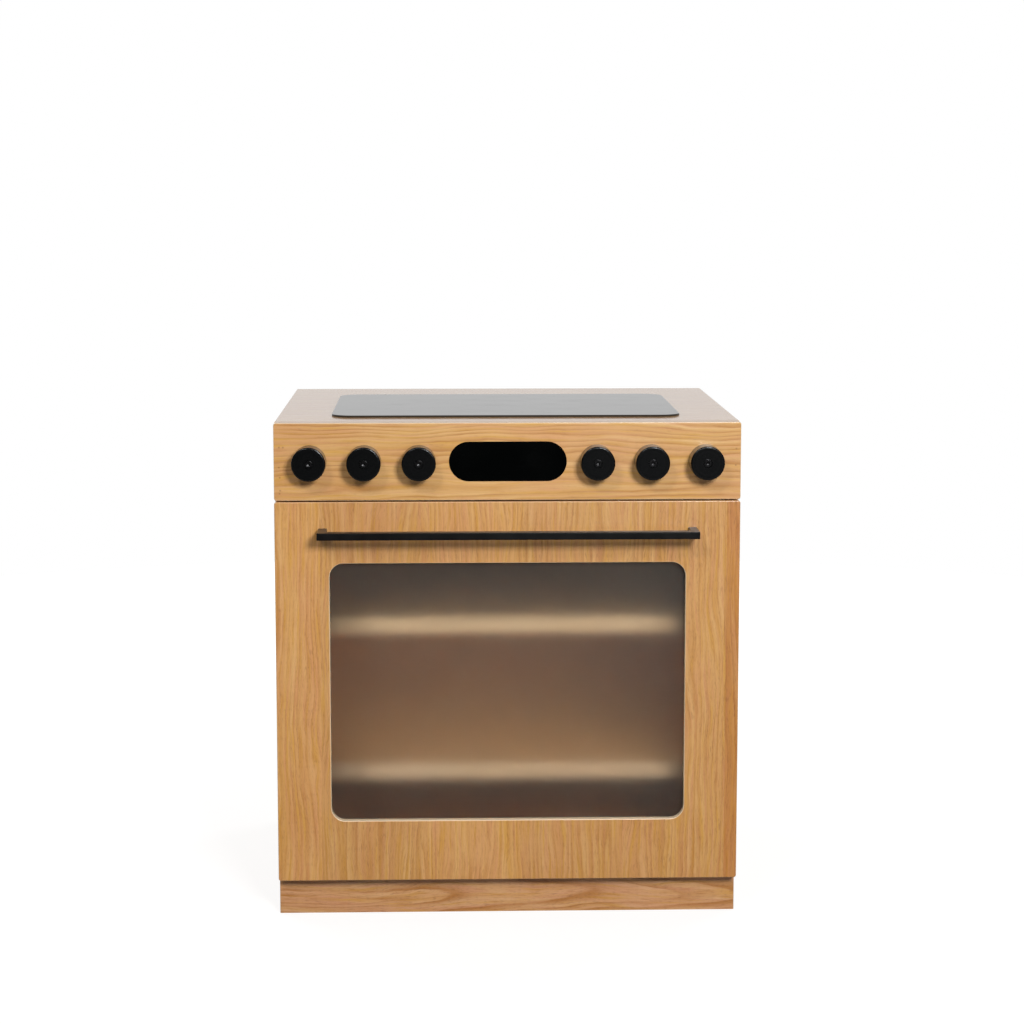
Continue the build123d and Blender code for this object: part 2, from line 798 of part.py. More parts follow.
def make_parts():
    """Every node by name, each a solid or a list of alike solids."""
    parts = {
        "worktop": make_worktop(),
        "side_left": make_side(-1),
        "side_right": make_side(1),
        "bottom_board": make_cross_board(plinth_height),
        "ceiling_board": make_cross_board(ceiling_bottom),
        "back_panel": make_back(),
        "plinth_front": make_plinth_front_or_rear(carcass_y, -1),
        "plinth_rear": make_plinth_front_or_rear(board_back_y - board, 1),
        "plinth_left": make_plinth_side(-1),
        "plinth_right": make_plinth_side(1),
        "plinth_blocks": make_plinth_blocks(),
        "control_panel": make_control_panel(),
        "display_panel": make_display(),
        "hob_plate": make_hob(),
        "shelf_lower": make_shelf(lower_shelf_bottom),
        "shelf_upper": make_shelf(upper_shelf_bottom),
        "shelf_pins": make_shelf_pins(),
        "dowels": [dowel(joint) for joint in joints],
        "back_screws": [flush_screw(place, FRONT, back_screw_length) for place in back_screw_places()],
        "hinge_arm_left": make_hinge_arm(-1),
        "hinge_arm_right": make_hinge_arm(1),
        "hinge_bushes": [make_hinge_bush(side) for side in (-1, 1)],
        "hinge_arm_screws": [
            flush_screw(place, outward, arm_screw_length)
            for side, inward, outward in BOTH_SIDES
            for place in arm_screw_places(side)
        ],
        "door_stops": make_door_stops(),
        "catch_case": make_catch(),
        "catch_magnet": magnet_space(),
        "catch_screws": [flush_screw(place, UP, catch_screw_length) for place in catch_screw_places()],
        "door_panel": make_door(),
        "window_pane": make_pane(),
        "pane_clips": make_clips(),
        "pane_clip_screws": make_clip_screws(),
        "door_bumpers": make_bumpers(),
        "hinge_pins": [make_hinge_pin(side) for side in (-1, 1)],
        "strike_plate": make_strike(),
        "strike_screws": [flush_screw(place, FRONT, strike_screw_length) for place in strike_screw_places()],
        "door_handle": make_handle(),
        "handle_screws": make_handle_screws(),
        "handle_washers": make_handle_washers(),
        "knob_bolts": [make_bolt(x) for x in knob_places],
        "knob_felts": [make_felt(x) for x in knob_places],
        "knob_washers": [make_washer(x) for x in knob_places],
        "knob_nuts": [make_nut(x) for x in knob_places],
    }
    for number, x in enumerate(knob_places, start=1):
        parts[f"knob_{number}"] = make_knob(x)
    return parts


def save(name, shape):
    shapes = shape if isinstance(shape, list) else [shape]
    solids = [solid for item in shapes for solid in item.solids()]
    export_step(Compound(solids), f"parts/{name}.step")


os.makedirs("parts", exist_ok=True)
for name, shape in make_parts().items():
    save(name, shape)
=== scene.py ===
"""Looks of the toy oven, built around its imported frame. Metres, +Z up, the front faces -Y."""

import json
import math

import bpy
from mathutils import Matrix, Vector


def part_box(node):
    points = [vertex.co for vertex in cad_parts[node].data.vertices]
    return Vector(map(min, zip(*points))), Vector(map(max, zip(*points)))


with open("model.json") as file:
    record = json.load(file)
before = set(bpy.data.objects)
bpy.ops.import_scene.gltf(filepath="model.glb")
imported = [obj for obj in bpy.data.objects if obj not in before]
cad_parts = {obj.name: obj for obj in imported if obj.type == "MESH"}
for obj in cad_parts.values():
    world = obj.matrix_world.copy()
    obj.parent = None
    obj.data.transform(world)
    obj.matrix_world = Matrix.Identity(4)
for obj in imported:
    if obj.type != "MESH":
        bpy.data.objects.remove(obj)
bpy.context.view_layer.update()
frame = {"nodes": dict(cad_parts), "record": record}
nodes = frame["nodes"]
MM = 0.001

# ---------------------------------------------------------------- driving values

# Camera: found from the corners of the object in the photograph
IMAGE_SIZE = 1024  # pixels
AXIS_ROW = 480  # the pixel row where the camera's axis meets the picture
FOCAL_PIXELS = 2377.8
SENSOR_WIDTH = 36.0  # millimetres
CAMERA_PLACE = (-0.06457, -2.6042, 0.76967)
CAMERA_PITCH = 0.1262  # radians below the horizon
CAMERA_YAW = -0.0284

# Floor
FLOOR_RADIUS = 2.2
FLOOR_CORNERS = 96
FLOOR_DROP = 0.0003  # below the part, so that the two faces never coincide
FLOOR_TONE = (128, 127, 126)
FLOOR_ROUGHNESS = 0.9
FLOOR_GLOW = 0.84  # what only the camera sees, added to the floor's own light near the part
GLOW_FADE = (0.5, 1.3)  # how far out the floor starts to turn white, and is as white as the background

# Lamps: turn is to the viewer's right, rise is above the horizon, both in degrees
AIM = (0.0, -0.18, 0.38)
KEY = {"turn": 14.2, "rise": 21.9, "distance": 2.33, "size": 0.45, "watts": 40.0}
SIDE = {"turn": -20.0, "rise": 34.0, "distance": 3.0, "size": 0.42, "watts": 16.7}
REAR = {"rise": 10.0, "distance": 2.4, "size": 1.0, "watts": 27.0, "glossy": False}
REAR_TURNS = (138.0, -138.0)  # low behind the part, one on each side
TOP = ("worktop", "hob_plate")  # level and glossy: from behind they would mirror the front lamps

# World
FILL = 0.22  # strength for diffuse light
BACKDROP_SHINE = 0.8  # strength that shiny faces see behind the part
FRONT_SHINE = 0.01  # and in front of it
SHINE_TURN = (-0.1, 0.5)  # the Y part of the direction, from the front's strength to the backdrop's

# Places on the part
LEAF_WIDTH = 104.4 * MM
DOOR_SEAM = 15.2 * MM  # the seam of the door's veneer nearest its middle
DOOR_STRIP = 226.5 * MM  # past this line lies a narrow darker leaf
REBATE_LIP = 8 * MM  # how far the pane's rebate reaches past the window on each side
pane_low, pane_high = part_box("window_pane")
WINDOW_EDGES = tuple((pane_low[axis] - REBATE_LIP, pane_high[axis] + REBATE_LIP) for axis in (0, 2))
PIN_MARKS = (  # X and Z of the filled pin holes near the ends of the control panel
    (-0.2342, 0.4966),
    (-0.2302, 0.4966),
    (-0.2345, 0.4759),
    (-0.2338, 0.4655),
    (-0.2335, 0.4520),
    (-0.2341, 0.4490),
    (0.2350, 0.4940),
    (0.2346, 0.4770),
)


def srgb(red, green, blue):
    """A colour given as 0-255 screen values, as the linear colour that shaders take."""
    linear = []
    for value in (red, green, blue):
        share = value / 255
        linear.append(share / 12.92 if share <= 0.04045 else ((share + 0.055) / 1.055) ** 2.4)
    return (*linear, 1.0)


# ---------------------------------------------------------------- shader nodes


class Graph:
    """Short calls for the nodes of a tree. Wherever a value goes, a number or another node's
    socket will do."""

    def __init__(self, tree):
        self.tree = tree
        self.tree.nodes.clear()

    def make(self, kind, **settings):
        node = self.tree.nodes.new("ShaderNode" + kind)
        for key, value in settings.items():
            setattr(node, key, value)
        return node

    def put(self, socket, value):
        if isinstance(value, bpy.types.NodeSocket):
            self.tree.links.new(value, socket)
        else:
            socket.default_value = value

    def math(self, operation, *values):
        node = self.make("Math", operation=operation)
        for socket, value in zip(node.inputs, values):
            self.put(socket, value)
        return node.outputs[0]

    def add(self, a, b):
        return self.math("ADD", a, b)

    def times(self, a, b):
        return self.math("MULTIPLY", a, b)

    def less(self, a, b):
        return self.math("SUBTRACT", a, b)

    def length(self, a, b):
        """The long side of a right triangle with the short sides a and b."""
        return self.math("SQRT", self.add(self.times(a, a), self.times(b, b)))

    def join(self, x, y, z):
        node = self.make("CombineXYZ")
        for socket, value in zip(node.inputs, (x, y, z)):
            self.put(socket, value)
        return node.outputs[0]

    def split(self, vector):
        node = self.make("SeparateXYZ")
        self.put(node.inputs[0], vector)
        return node.outputs

    def either(self, share, a, b):
        """a where share is 0 and b where it is 1, for plain numbers."""
        node = self.make("Mix", data_type="FLOAT")
        for socket, value in zip((node.inputs[0], node.inputs[2], node.inputs[3]), (share, a, b)):
            self.put(socket, value)
        return node.outputs[0]

    def blend(self, share, a, b, mode="MIX"):
        """Colour a, with b over it by share."""
        node = self.make("Mix", data_type="RGBA", blend_type=mode)
        for socket, value in zip((node.inputs[0], node.inputs[6], node.inputs[7]), (share, a, b)):
            self.put(socket, value)
        return node.outputs[2]

    def fit(self, value, low, high, to_low=0.0, to_high=1.0, smooth=False):
        """The value, carried from one range to another and kept within it."""
        node = self.make("MapRange", interpolation_type="SMOOTHSTEP" if smooth else "LINEAR")
        for socket, entry in zip(node.inputs, (value, low, high, to_low, to_high)):
            self.put(socket, entry)
        return node.outputs[0]

    def noise(self, vector, detail=2.0, roughness=0.5):
        """Soft noise with about one wave a unit."""
        node = self.make("TexNoise", noise_dimensions="3D")
        settings = {"Vector": vector, "Scale": 1.0, "Detail": detail, "Roughness": roughness}
        for key, value in settings.items():
            self.put(node.inputs[key], value)
        return node.outputs[0]

    def mottle(self, place, waves, detail=2.0):
        """Noise with so many waves a metre, the same or its own number along each axis."""
        counts = waves if isinstance(waves, tuple) else (waves, waves, waves)
        parts = [self.times(part, count) for part, count in zip(place, counts)]
        return self.noise(self.join(*parts), detail)

    def random(self, value):
        """Three random numbers for a whole number."""
        node = self.make("TexWhiteNoise", noise_dimensions="1D")
        self.put(node.inputs["W"], value)
        colour = self.make("SeparateColor")
        self.put(colour.inputs[0], node.outputs["Color"])
        return colour.outputs

    def curve(self, value, points):
        """Straight runs between (place, level) points, as a grey level."""
        node = self.make("ValToRGB")
        ramp = node.color_ramp
        while len(ramp.elements) < len(points):
            ramp.elements.new(0.5)
        for element, (place, level) in zip(ramp.elements, points):
            element.position = place
            element.color = (level, level, level, 1.0)
        self.put(node.inputs[0], value)
        return node.outputs[0]


class Shader(Graph):
    """The graph of a material with one Principled surface."""

    def __init__(self, name):
        self.material = bpy.data.materials.new(name)
        self.material.use_nodes = True
        super().__init__(self.material.node_tree)
        self.surface = self.make("BsdfPrincipled")
        self.output = self.make("OutputMaterial")
        self.show(self.surface.outputs[0])

    def show(self, shader):
        """Sends a shader to the material's output."""
        self.put(self.output.inputs["Surface"], shader)

    def set(self, **values):
        """Sets inputs of the surface; words in a name are joined by _."""
        for key, value in values.items():
            self.put(self.surface.inputs[key.replace("_", " ")], value)

    def place(self):
        """The point's place in the part's own frame, as three sockets."""
        return self.split(self.make("TexCoord").outputs["Object"])

    def facing(self):
        """How far the surface faces along each of the part's own axes, 0 to 1."""
        parts = self.split(self.make("TexCoord").outputs["Normal"])
        return [self.math("ABSOLUTE", part) for part in parts]

    def inside(self, place, box):
        """1 within a box given as (low, high) in X and Z, and 0 outside."""
        share = 1.0
        for part, (low, high) in zip((place[0], place[2]), box):
            share = self.times(share, self.math("GREATER_THAN", part, low))
            share = self.times(share, self.math("LESS_THAN", part, high))
        return share

    def bump(self, height, strength, distance):
        node = self.make("Bump")
        self.put(node.inputs["Strength"], strength)
        self.put(node.inputs["Distance"], distance)
        self.put(node.inputs["Height"], height)
        self.set(Normal=node.outputs[0])


# ---------------------------------------------------------------- oak veneer

OILED = {  # the lacquered veneer of the outside
    "light": srgb(229, 183, 128),
    "middle": srgb(213, 158, 90),
    "gold": srgb(216, 162, 74),
    "rosy": srgb(217, 158, 112),
    "dark": srgb(181, 118, 48),
    "pore": srgb(140, 86, 36),
}
PALE = {  # the lighter boards inside
    "light": srgb(236, 221, 191),
    "middle": srgb(226, 207, 172),
    "gold": srgb(228, 208, 166),
    "rosy": srgb(224, 202, 170),
    "dark": srgb(196, 170, 130),
    "pore": srgb(150, 120, 84),
}
PAINTED_EDGE_LIGHT = srgb(247, 222, 186)  # painted light: a pale cream that stands for the highlight on rounded edges and the light on the window's reveal

# Tones multiply the wood's colour
WHITE = (255, 255, 255)
DOOR_TONE = (249, 244, 225)
STRIP_TONE = (241, 224, 199)
PANEL_TONE = (253, 255, 242)
BOTTOM_TONE = (232, 214, 180)
SHELF_TONE = (246, 228, 200)
LOWER_EDGE_TONE = (238, 241, 250)
UPPER_EDGE_TONE = (250, 252, 255)
PLINTH_TONE = (246, 243, 255)
BACK_TONE = (246, 230, 204)
BEECH_TONE = (252, 244, 232)
LEAF_TONES = (0.95, 1.04)  # the darkest and the lightest leaf

# Width and length of the grain's marks
FIBRE = (1.1 * MM, 20 * MM)
STREAK = (5 * MM, 200 * MM)
HUE = (2.6 * MM, 70 * MM)
CLOUD = (24 * MM, 160 * MM)
PATCH = (30 * MM, 70 * MM)
FLECK = (1.2 * MM, 9 * MM)
PORE = (0.42 * MM, 5 * MM)
WANDER = (60 * MM, 240 * MM)
RIPPLE = (11 * MM, 45 * MM)

SHOWS = {  # the levels of its noise between which a mark starts to show and shows in full
    "streak": (0.34, 0.66),
    "cloud": (0.45, 0.66),
    "rosy": (0.54, 0.66),
    "gold": (0.46, 0.34),
    "fibre": (0.5, 0.78),
    "fleck": (0.6, 0.72),
    "pore": (0.56, 0.70),
}
COVERS = {  # how much of the colour beneath it a mark covers at most
    "cloud": 0.6,
    "hue": 0.75,
    "ring": 0.5,
    "fibre": 0.62,
    "fleck": 0.32,
    "pore": 0.42,
}

RING_PITCH = 5.6 * MM
RING_PROFILE = [(0.0, 0.15), (0.1, 1.0), (0.4, 0.45), (0.8, 0.05), (1.0, 0.15)]
RING_PATCHES = (0.35, 0.62, 0.3, 1.0)  # rings are fainter where the patches are low
RINGS_OUT = 2.6  # how many rings the uneven growth moves a ring by at most
GROWTH_WAVES = 70.0  # a metre, of that unevenness
HEART_DEPTH = (6 * MM, 18 * MM)  # how far the log's middle lies behind a leaf
WANDER_SWAY = 34 * MM  # how far the grain strays, from one side to the other
RIPPLE_SWAY = 4.5 * MM
NARROW_LEAVES = 37.0  # sets the leaves of the narrow faces apart from those of the broad ones
LAYER_GAP = 3.7  # between two leaves in the noise that both are cut from
FACING = 0.7  # from here on a face counts as facing along an axis
ROUNDED = (0.97, 0.80)  # how far a rounded edge faces along the thin axis, from where its painted highlight starts to where it is full
SQUARE = (0.999, 0.97)  # the same for the axes across, which leaves out the flat narrow faces
PIN_FADE = (1.3 * MM, 0.5 * MM)
PIN_DEPTH = 0.55  # how dark the marks are
FLECK_PATCHES = (0.4, 0.6, 0.2, 1.0)  # flecks are fainter where the patches are low
PORE_RINGS = (0.0, 0.8, 0.35, 1.0)  # and pores between the rings
VENEER_ROUGHNESS = (0.36, 0.55)  # between the pores and in them
FIBRE_HEIGHT = 0.35  # a share of the relief, as is the pores' depth
PORE_DEPTH = 0.65
VENEER_RELIEF = (0.3, 0.1 * MM)  # the bump's strength and depth, here and for the other materials
LACQUER_INDEX = 1.5


class Veneer(Shader):
    """Oak veneer on a board. thickness and grain name the board's axes: the thin one, and the
    one that the grain follows."""

    def __init__(self, name, thickness, grain):
        super().__init__(name)
        self.spot, self.turn = self.place(), self.facing()
        self.thin, self.long = "XYZ".index(thickness), "XYZ".index(grain)
        self.cross = 3 - self.thin - self.long
        self.broad = self.math("GREATER_THAN", self.turn[self.thin], FACING)
        self.rounded = self.fit(self.turn[self.thin], *ROUNDED)
        end = self.math("GREATER_THAN", self.turn[self.long], FACING)
        self.across = self.either(self.broad, self.spot[self.thin], self.spot[self.cross])
        self.along = self.either(end, self.spot[self.long], self.spot[self.cross])

    def grained(self, across, size, **options):
        """Noise stretched along the grain; size is the grain's rough width and length."""
        width, length = size
        sides = (self.times(across, 1 / width), self.times(self.along, 1 / length))
        return self.noise(self.join(*sides, self.layer), **options)

    def cut(self, seam, leaf, seed):
        """Divides the board into leaves, each with three random numbers in chance and with its
        own layer of the noise."""
        self.leaf = leaf
        self.leaves = self.times(self.less(self.across, seam), 1 / leaf)
        narrow = self.times(self.less(1.0, self.broad), NARROW_LEAVES)
        number = self.add(self.math("FLOOR", self.leaves), narrow)
        self.chance = self.random(self.add(number, seed))
        self.layer = self.add(self.times(number, LAYER_GAP), seed)

    def grow(self, heart, rise):
        """Lays out the grain: its sway, the rings round the log's middle, fibres and pores."""
        wander = self.less(self.grained(self.across, WANDER), 0.5)
        ripple = self.less(self.grained(self.across, RIPPLE), 0.5)
        sway = self.add(self.times(wander, WANDER_SWAY), self.times(ripple, RIPPLE_SWAY))
        self.bent = self.add(self.across, sway)
        self.patch = self.grained(self.bent, PATCH)

        middle = self.times(self.less(self.math("FRACT", self.leaves), 0.5), self.leaf)
        side = self.either(self.chance[0], -heart, heart)
        reach = self.add(self.add(middle, side), sway)
        depth = self.add(self.times(self.along, rise), self.either(self.chance[1], *HEART_DEPTH))
        radius = self.length(reach, depth)
        growth = self.join(self.times(radius, GROWTH_WAVES), self.layer, 0.0)
        uneven = self.times(self.noise(growth, detail=1.0), RINGS_OUT)
        rings = self.add(self.times(radius, 1 / RING_PITCH), uneven)
        ring = self.curve(self.math("FRACT", rings), RING_PROFILE)
        self.ring = self.times(ring, self.fit(self.patch, *RING_PATCHES))

        self.fibre = self.grained(self.bent, FIBRE, detail=3.0, roughness=0.6)
        speck = self.grained(self.bent, PORE, detail=1.0)
        open_ring = self.fit(self.ring, *PORE_RINGS)
        self.pore = self.times(self.fit(speck, *SHOWS["pore"]), open_ring)

    def colours(self, palette, contrast, figure):
        """The wood's colour, each mark over the ones before it."""

        def mark(noise, name, most=1.0):
            return self.fit(noise, *SHOWS[name], 0.0, most)

        streak = self.grained(self.bent, STREAK, detail=3.0, roughness=0.55)
        cloud = self.grained(self.bent, CLOUD)
        hue = self.grained(self.bent, HUE)
        dash = self.grained(self.bent, FLECK, detail=1.0)
        fleck = self.times(mark(dash, "fleck"), self.fit(self.patch, *FLECK_PATCHES))
        marks = (
            ("light", mark(streak, "streak")),
            ("rosy", mark(cloud, "cloud", COVERS["cloud"])),
            ("rosy", mark(hue, "rosy", COVERS["hue"])),
            ("gold", mark(hue, "gold", COVERS["hue"])),
            ("dark", self.times(self.ring, COVERS["ring"] * figure)),
            ("dark", mark(self.fibre, "fibre", COVERS["fibre"] * contrast)),
            ("pore", self.times(fleck, COVERS["fleck"] * contrast)),
            ("pore", self.times(self.pore, COVERS["pore"] * contrast)),
        )
        colour = palette["middle"]
        for name, share in marks:
            colour = self.blend(share, colour, palette[name])
        return colour

    def toned(self, colour, tone, edge_tone, strip):
        """The colour, with the tones of its leaf, of a darker strip and of the whole board."""
        leaf_tone = self.fit(self.chance[2], 0.0, 1.0, *LEAF_TONES)
        colour = self.blend(1.0, colour, self.join(leaf_tone, leaf_tone, leaf_tone), "MULTIPLY")
        if strip is not None:
            beyond = self.times(self.math("GREATER_THAN", self.across, strip), self.broad)
            colour = self.blend(beyond, colour, srgb(*STRIP_TONE), "MULTIPLY")
        tint = self.blend(self.broad, srgb(*edge_tone), srgb(*tone))
        return self.blend(1.0, colour, tint, "MULTIPLY")

    def paint_edge_highlight(self, colour, edge_highlight):
        """The colour, with a painted highlight: pale cream on the rounded edges, where they would catch
        the lamps.
        """
        square = self.math("MAXIMUM", self.turn[self.long], self.turn[self.cross])
        rounding = self.times(self.rounded, self.fit(square, *SQUARE))
        return self.blend(self.times(rounding, edge_highlight), colour, PAINTED_EDGE_LIGHT)

    def pinned(self, colour, marks, filler):
        """The colour, with filled pin holes at places in X and Z."""
        for x, z in marks:
            away = self.length(self.less(self.spot[0], x), self.less(self.spot[2], z))
            seen = self.times(self.fit(away, *PIN_FADE), PIN_DEPTH)
            colour = self.blend(self.times(seen, self.broad), colour, filler)
        return colour

    def paint_reveal_light(self, colour, box):
        """The colour, with painted light: pale cream on the narrow faces within a box, as if lit strongly
        from above.
        """
        return self.blend(self.times(self.rounded, self.inside(self.spot, box)), colour, PAINTED_EDGE_LIGHT)

    def finish(self, colour, lacquer, coat):
        """The lacquered surface, with the fibres and the pores sunk a little."""
        roughness = self.fit(self.pore, 0.0, 1.0, *VENEER_ROUGHNESS)
        self.set(Base_Color=colour, Roughness=roughness, IOR=LACQUER_INDEX)
        self.set(Coat_Weight=coat, Coat_Roughness=lacquer, Coat_IOR=LACQUER_INDEX)
        raised = self.times(self.less(1.0, self.fibre), FIBRE_HEIGHT)
        self.bump(self.less(raised, self.times(self.pore, PORE_DEPTH)), *VENEER_RELIEF)
        return self.material


def oak(
    name,
    thickness,
    grain,
    seed,
    seam=0.0,
    leaf=LEAF_WIDTH,
    heart=160 * MM,
    rise=0.02,
    tone=WHITE,
    edge_tone=None,
    contrast=1.0,
    palette=OILED,
    strip=None,
    figure=1.0,
    lacquer=0.28,
    coat=1.0,
    reveal=None,
    edge_highlight=0.3,
    marks=(),
):
    """The material of a veneered board. seam is a place where two leaves meet, and leaf is a
    leaf's width. heart is how far the log's middle may lie from a leaf's middle; rise is the
    slope of the rings along the grain, which opens them into arches. contrast is for fibres and
    pores, figure for the rings. strip is the place past which a darker leaf lies. tone multiplies
    the colour, and edge_tone does so on the narrow faces if it differs there. reveal is the box,
    in X and Z, whose narrow faces get painted light, a pale cream as if lit from above;
    edge_highlight says how strongly the rounded edges get a painted highlight of that cream;
    marks are the places of filled pin holes; lacquer is the roughness of the coat, and coat its weight."""
    veneer = Veneer(name, thickness, grain)
    veneer.cut(seam, leaf, seed)
    veneer.grow(heart, rise)
    colour = veneer.colours(palette, contrast, figure)
    colour = veneer.toned(colour, tone, edge_tone or tone, strip)
    # painted highlight: the rounded edges are painted pale cream
    colour = veneer.paint_edge_highlight(colour, edge_highlight)
    colour = veneer.pinned(colour, marks, palette["pore"])
    # painted light: the window's reveal is painted pale cream as if lit from above
    if reveal is not None:
        colour = veneer.paint_reveal_light(colour, reveal)
    return veneer.finish(colour, lacquer, coat)


# ---------------------------------------------------------------- other materials

NOISE_SPAN = (0.3, 0.7)  # where nearly all of a noise's levels lie
ACRYLIC_INDEX = 1.49

POLISH = (srgb(1, 2, 2), srgb(4, 5, 5))
SHEET_WAVES = 14.0  # a metre
SHEET_RELIEF = (0.03, 0.4 * MM)
SMEAR_WAVES = 30.0
SMEARED = (0.35, 0.75, 0.05, 0.12)  # the smears' levels, and the roughness that they give
# painted reflection: a warm dark grey on the sawn edges stands for what they mirror; their satin
# roughness is real
SAWN_EDGE_AND_REFLECTION = srgb(60, 54, 47)
SAWN_ROUGHNESS = 0.5


def black_gloss(name, thickness):
    """Polished black acrylic sheet, with the faint waviness of such sheet and satin sawn edges, whose
    lighter brownish colour is a painted reflection.
    """
    shader = Shader(name)
    place = shader.place()
    sawn = shader.math("LESS_THAN", shader.facing()["XYZ".index(thickness)], FACING)
    smear = shader.mottle(place, SMEAR_WAVES, detail=3.0)
    shader.set(
        # the sawn edges' lighter colour is a painted reflection
        Base_Color=shader.blend(sawn, shader.blend(smear, *POLISH), SAWN_EDGE_AND_REFLECTION),
        Roughness=shader.either(sawn, shader.fit(smear, *SMEARED), SAWN_ROUGHNESS),
        IOR=ACRYLIC_INDEX,
    )
    shader.bump(shader.mottle(place, SHEET_WAVES, detail=1.0), *SHEET_RELIEF)
    return shader.material


SMOKE = srgb(207, 199, 189)
SATIN_SHINE = (0.80, 0.85, 0.83, 1.0)  # how much of each colour the satin faces mirror
SATIN_WAVES = 900.0  # a metre
SATIN_ROUGHNESS = (0.44, 0.51)
LIT_MIDDLE = srgb(238, 232, 224)  # how much of a lamp's light gets through the middle
LIT_EDGE = srgb(150, 143, 134)  # and beside the frame
SCATTER = 50 * MM  # how far from the frame the pane's scattered light is dimmed
PANE_DRIFT = Vector((13 * MM, 0.0, -8 * MM))  # where the lamp makes that light strongest


def smoked_acrylic(name):
    """Bronze acrylic, satin on both faces: it blurs what lies behind it. Lamps reach through it,
    less so near the frame, which stops much of the light that the satin faces scatter."""
    shader = Shader(name)
    place = shader.place()
    satin = shader.mottle(place, SATIN_WAVES)
    shader.set(
        Base_Color=SMOKE,
        Roughness=shader.fit(satin, *NOISE_SPAN, *SATIN_ROUGHNESS),
        IOR=ACRYLIC_INDEX,
        Specular_Tint=SATIN_SHINE,
        Transmission_Weight=1.0,
    )
    middle = (pane_low + pane_high) / 2 + PANE_DRIFT
    share = 1.0
    for axis in (0, 2):
        aside = shader.math("ABSOLUTE", shader.less(place[axis], middle[axis]))
        edge = (pane_high[axis] - pane_low[axis]) / 2 - REBATE_LIP
        share = shader.times(share, shader.fit(aside, edge, edge - SCATTER, smooth=True))
    clear = shader.make("BsdfTransparent")
    shader.put(clear.inputs["Color"], shader.blend(share, LIT_EDGE, LIT_MIDDLE))
    pick = shader.make("MixShader")
    for_lamps = shader.make("LightPath").outputs["Is Shadow Ray"]
    for socket, value in zip(pick.inputs, (for_lamps, shader.surface.outputs[0], clear.outputs[0])):
        shader.put(socket, value)
    shader.show(pick.outputs[0])
    return shader.material


TURNED = (srgb(2, 3, 4), srgb(8, 9, 10))
TURNED_ROUGHNESS = (0.18, 0.25)
TURNED_INDEX = 1.45
LATHE_RINGS = 2600.0  # a metre outward
LATHE_STEPS = 900.0  # a metre along the axis
LATHE_RELIEF = (0.15, 0.03 * MM)
DUST_WAVES = 700.0


def turned_black(name, centre):
    """Satin black, with the fine rings that the lathe leaves round the axis."""
    shader = Shader(name)
    x, y, z = shader.place()
    radius = shader.length(shader.less(x, centre[0]), shader.less(z, centre[2]))
    turns = shader.join(shader.times(radius, LATHE_RINGS), shader.times(y, LATHE_STEPS), centre[0])
    marks = shader.noise(turns)
    dust = shader.mottle((x, y, z), DUST_WAVES, detail=3.0)
    shader.set(
        Base_Color=shader.blend(dust, *TURNED),
        Roughness=shader.fit(marks, *NOISE_SPAN, *TURNED_ROUGHNESS),
        IOR=TURNED_INDEX,
    )
    shader.bump(marks, *LATHE_RELIEF)
    return shader.material


GRIT_SHARE, PATCH_SHARE = 0.6, 0.4  # of the colour's unevenness
GRIT_RELIEF = 0.4
PATCH_WAVES = 60.0  # a metre
PATCH_ROUGHNESS = 0.05  # how much rougher or smoother the patches are


def coated(name, dark, light, roughness, grit, depth, shine):
    """A coat of one colour with a fine texture: powder coat, rubber, felt, moulded plastic.
    grit is the texture's width and depth its depth."""
    shader = Shader(name)
    place = shader.place()
    grain = shader.mottle(place, 1 / grit, detail=3.0)
    patch = shader.mottle(place, PATCH_WAVES)
    share = shader.add(shader.times(grain, GRIT_SHARE), shader.times(patch, PATCH_SHARE))
    rougher, smoother = roughness + PATCH_ROUGHNESS, roughness - PATCH_ROUGHNESS
    shader.set(
        Base_Color=shader.blend(share, srgb(*dark), srgb(*light)),
        Roughness=shader.fit(patch, *NOISE_SPAN, smoother, rougher),
        Specular_IOR_Level=shine,
    )
    shader.bump(grain, GRIT_RELIEF, depth)
    return shader.material


SCRATCH_WAVES = (3000.0, 300.0, 1500.0)  # a metre along each axis
SCRATCH_ROUGHNESS = (-0.08, 0.1)  # added to the steel's own
SCRATCH_RELIEF = (0.15, 0.03 * MM)
PLATING_WAVES = 220.0


def steel(name, dark, light, roughness):
    """Steel with fine scratches and a slightly uneven plating, from dark to light."""
    shader = Shader(name)
    place = shader.place()
    scratch = shader.mottle(place, SCRATCH_WAVES)
    patch = shader.mottle(place, PLATING_WAVES, detail=3.0)
    span = [roughness + change for change in SCRATCH_ROUGHNESS]
    shader.set(
        Base_Color=shader.blend(patch, (*dark, 1.0), (*light, 1.0)),
        Metallic=1.0,
        Roughness=shader.fit(scratch, *NOISE_SPAN, *span),
    )
    shader.bump(scratch, *SCRATCH_RELIEF)
    return shader.material


# ---------------------------------------------------------------- finishes of the nodes

